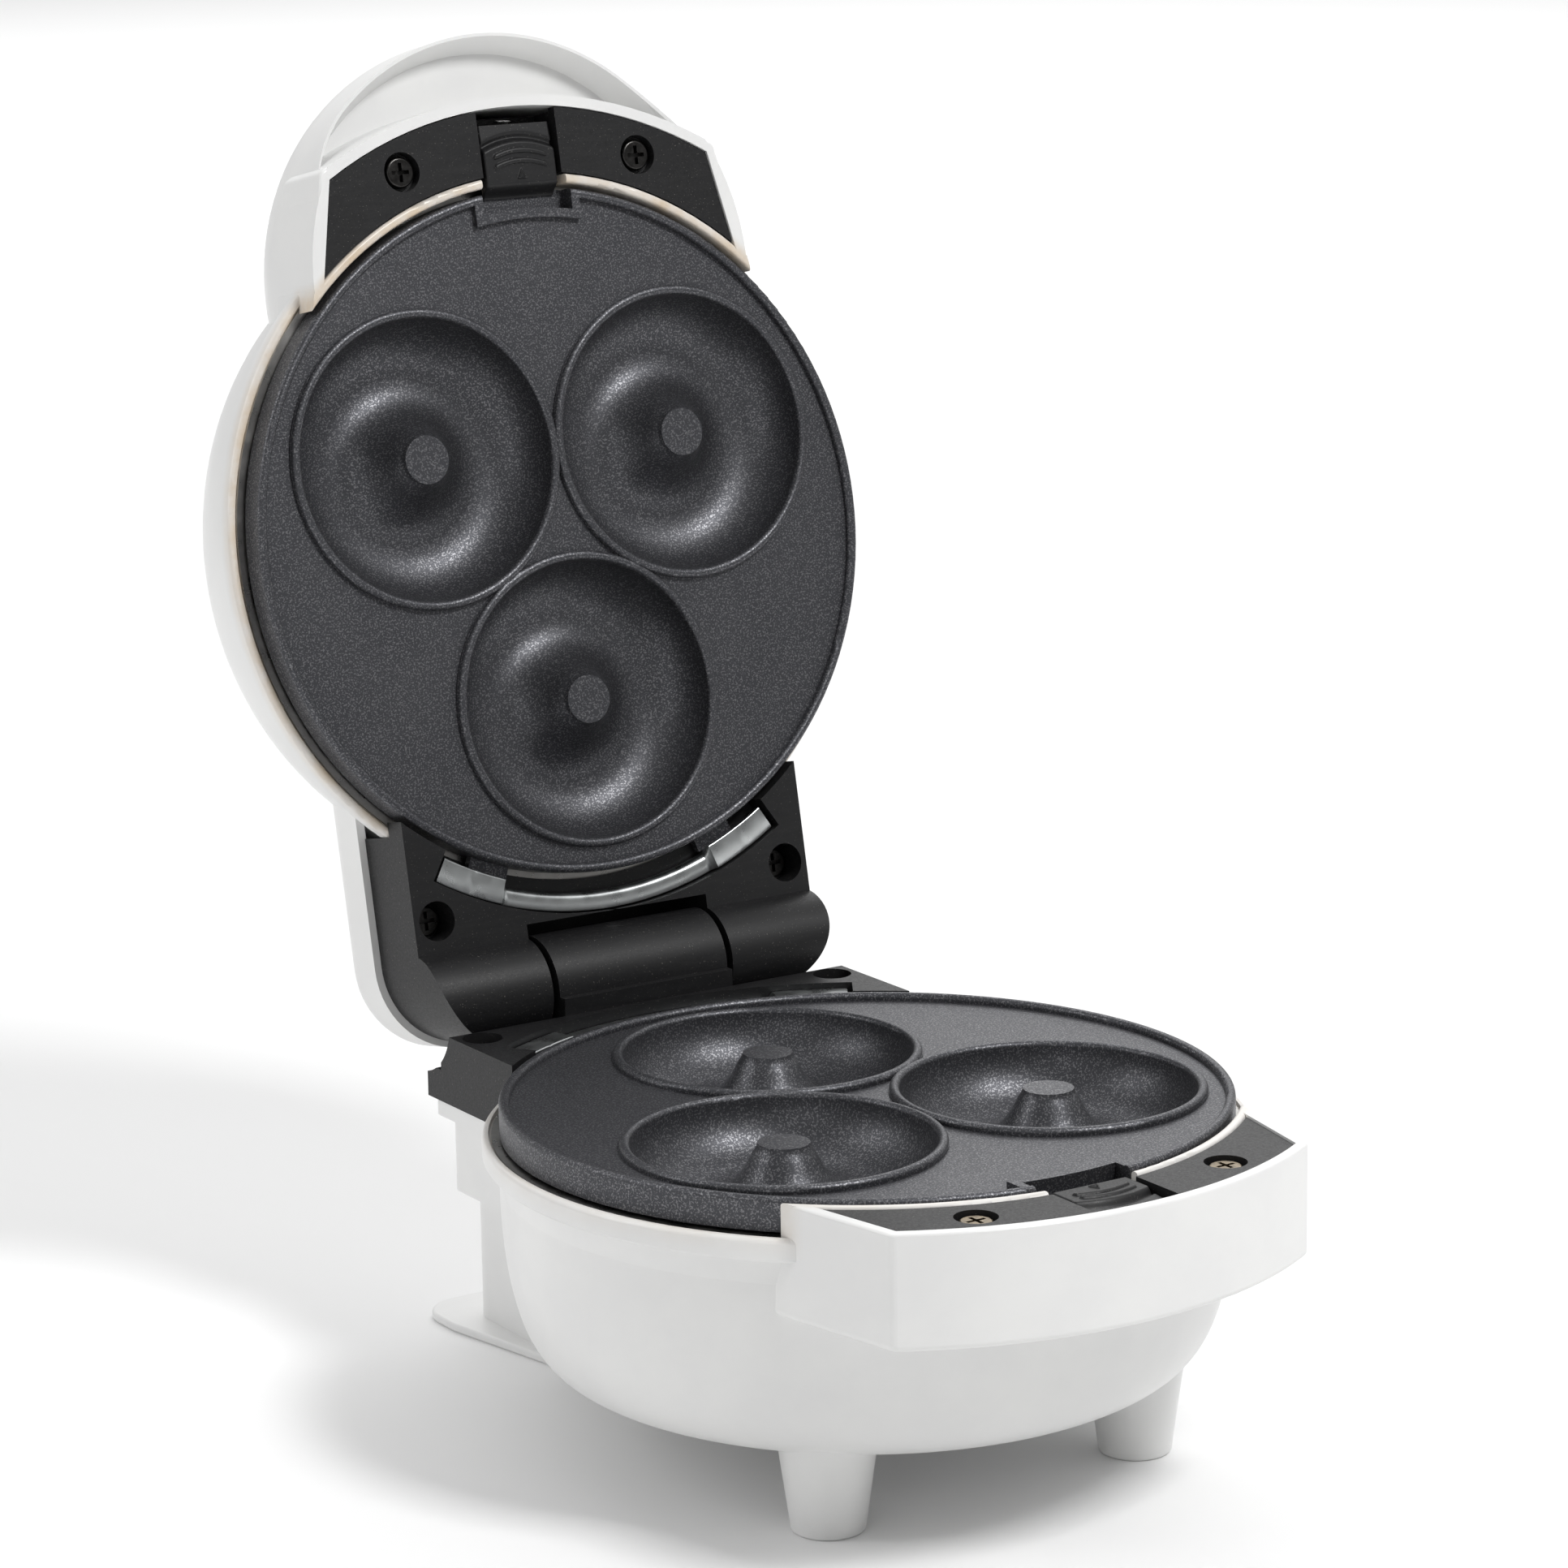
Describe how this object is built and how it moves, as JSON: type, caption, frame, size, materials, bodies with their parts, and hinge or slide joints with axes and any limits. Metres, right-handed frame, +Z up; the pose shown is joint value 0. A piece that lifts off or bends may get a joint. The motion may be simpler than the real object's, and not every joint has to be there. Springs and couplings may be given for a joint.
{
  "type": "donut maker",
  "caption": "Round countertop donut maker, shown open: hinged white shells, dark non-stick plates with ring-shaped wells, black hinge and latches, column foot at the rear.",
  "frame": {"origin": "bottom centre of the open appliance's bounding box, on the surface it stands on", "axes": "+Z up, +Y towards the hinge at the rear, handle at -Y, +X to the right seen from the handle side"},
  "size_m": [0.1824, 0.3069, 0.3239],
  "materials": {
    "white_plastic": "glossy white moulded plastic, slightly yellowed",
    "black_plastic": "black phenolic plastic, satin, fine dust and scratches",
    "nonstick": "dark grey non-stick coating with fine sparkle, on cast aluminium",
    "reflector_metal": "thin bright pressed sheet",
    "element_metal": "heat-darkened steel sheath",
    "zinc": "zinc-plated pressed steel strip",
    "screw_dark": "blackened steel screw",
    "screw_plated": "yellow zinc-plated steel screw",
    "spring_steel": "spring wire",
    "pin_steel": "turned steel pin",
    "ceramic_cream": "cream heat-resistant moulding",
    "gland_black": "black rubber bushing",
    "wire_sleeve": "woven glass-fibre wire sleeve",
    "lens_red": "red lamp lens",
    "lens_green": "green lamp lens",
    "lamp_glass": "small neon lamp"
  },
  "bodies": {
    "base": {"base_bracket": "zinc", "base_element_clips": "zinc", "base_handle_insert": "black_plastic", "base_heating_element": "element_metal", "base_hinge_block": "black_plastic", "base_hinge_screws": "screw_plated", "base_insert_screws": "screw_plated", "base_latch_spring": "spring_steel", "base_plate": "nonstick", "base_reflector": "reflector_metal", "base_reflector_screws": "screw_plated", "base_shell": "white_plastic", "base_wires": "wire_sleeve", "cord_gland": "gland_black", "hinge_pin": "pin_steel", "rear_foot": "white_plastic", "rear_foot_screws": "screw_dark", "terminal_block": "ceramic_cream", "thermal_fuse": "wire_sleeve", "thermostat": "ceramic_cream"},
    "lid": {"lid_bracket": "zinc", "lid_element_clips": "zinc", "lid_handle_insert": "black_plastic", "lid_heating_element": "element_metal", "lid_hinge_cover": "black_plastic", "lid_hinge_screws": "screw_dark", "lid_insert_screws": "screw_dark", "lid_lamps": "lamp_glass", "lid_latch_spring": "spring_steel", "lid_plate": "nonstick", "lid_reflector": "reflector_metal", "lid_reflector_screws": "screw_plated", "lid_shell": "white_plastic", "lid_wires": "wire_sleeve", "power_lamp_lens": "lens_red", "ready_lamp_lens": "lens_green"},
    "lower_latch": {"base_latch": "black_plastic"},
    "upper_latch": {"lid_latch": "black_plastic"}
  },
  "joints": [
    {"name": "lid_hinge", "type": "hinge", "parent": "base", "child": "lid", "pos_m": [0, 0.07033, 0.0892], "axis": [1, 0, 0], "range_deg": [0, 101.4]},
    {"name": "lower_latch_slide", "type": "slide", "parent": "base", "child": "lower_latch", "axis": [0, -1, 0], "range_m": [0, 0.0032], "stiffness_N_per_m": 300, "springref_m": -0.004, "deforming": ["base_latch_spring"]},
    {"name": "upper_latch_slide", "type": "slide", "parent": "lid", "child": "upper_latch", "axis": [0, 0.2011, 0.9796], "range_m": [0, 0.0032], "stiffness_N_per_m": 300, "springref_m": -0.004, "deforming": ["lid_latch_spring"]}
  ]
}
